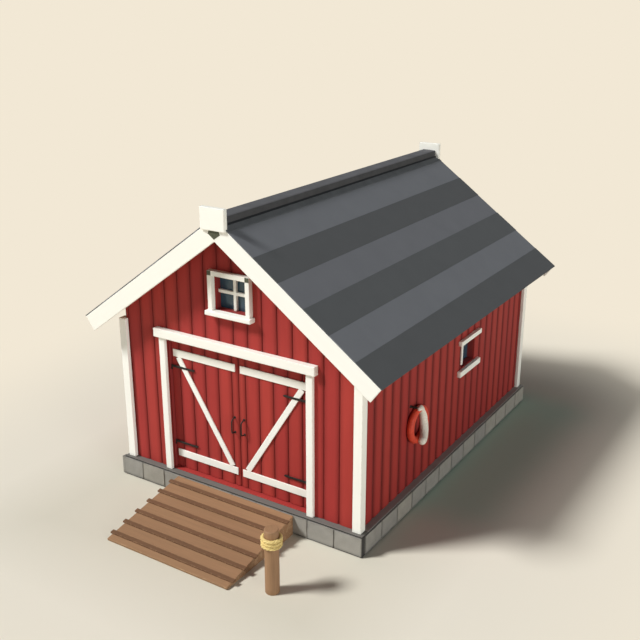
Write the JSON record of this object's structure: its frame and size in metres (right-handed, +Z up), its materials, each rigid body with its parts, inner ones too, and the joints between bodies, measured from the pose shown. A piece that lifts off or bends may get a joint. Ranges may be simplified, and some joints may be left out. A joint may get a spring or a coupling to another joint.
{
  "type": "boathouse",
  "caption": "Timber boathouse with lapped felt roof, double plank doors, slipway ramp, lifebuoy and mooring post",
  "frame": {"origin": "middle of the plinth's underside, on the ground", "axes": "+Z up, -Y out of the doors and down the ramp, +X to the right seen from the ramp"},
  "size_m": [5.994, 9.0885, 5.47],
  "materials": {
    "red_cladding": "matte",
    "cream_trim": "satin",
    "plinth_stone": "matte",
    "plinth_mortar": "matte",
    "bare_timber": "matte",
    "roof_felt_light": "matte",
    "roof_felt_dark": "matte",
    "ridge_metal": "matte",
    "dark_plates": "satin",
    "door_iron": "matte",
    "window_glass": "polished",
    "buoy_orange": "satin",
    "buoy_white": "satin",
    "ramp_timber": "matte",
    "batten_timber": "matte",
    "post_timber": "matte",
    "rope": "matte"
  },
  "bodies": {
    "building": {"plinth_core": "plinth_mortar", "plinth_blocks": "plinth_stone", "floor_boards": "bare_timber", "front_wall_left": "red_cladding", "front_wall_right": "red_cladding", "front_wall_gable": "red_cladding", "back_wall": "red_cladding", "left_wall": "red_cladding", "right_wall": "red_cladding", "corner_posts": "cream_trim", "roof_slab_right": "bare_timber", "roof_slab_left": "bare_timber", "roof_courses_light": "roof_felt_light", "roof_courses_dark": "roof_felt_dark", "ridge_flashing": "ridge_metal", "ridge_cap": "ridge_metal", "barge_boards_front": "cream_trim", "barge_boards_back": "cream_trim", "ridge_blocks": "cream_trim", "apex_plates": "dark_plates", "door_lintel": "cream_trim", "door_jambs": "cream_trim", "threshold": "red_cladding", "hinge_pintles": "door_iron", "gable_window_casing": "cream_trim", "gable_window_corner_plates": "dark_plates", "gable_window_bars": "cream_trim", "gable_window_glass": "window_glass", "side_window_casing": "cream_trim", "side_window_glass": "window_glass", "lifebuoy_near_half": "buoy_orange", "lifebuoy_far_half": "buoy_white", "lifebuoy_hook": "door_iron", "ramp_deck": "ramp_timber", "ramp_stringers": "ramp_timber", "ramp_battens": "batten_timber", "mooring_post": "post_timber", "mooring_rope": "rope"},
    "door_right": {"door_right_boards": "red_cladding", "door_right_frame": "cream_trim", "door_right_straps": "door_iron", "door_right_handle": "door_iron"},
    "door_left": {"door_left_boards": "red_cladding", "door_left_frame": "cream_trim", "door_left_straps": "door_iron", "door_left_handle": "door_iron"}
  },
  "joints": [
    {"name": "door_right_hinge", "type": "hinge", "parent": "building", "child": "door_right", "pos_m": [1.431, -3.352, 0], "axis": [0, 0, 1], "range_deg": [0, 90]},
    {"name": "door_left_hinge", "type": "hinge", "parent": "building", "child": "door_left", "pos_m": [-1.431, -3.352, 0], "axis": [0, 0, -1], "range_deg": [0, 90]}
  ]
}
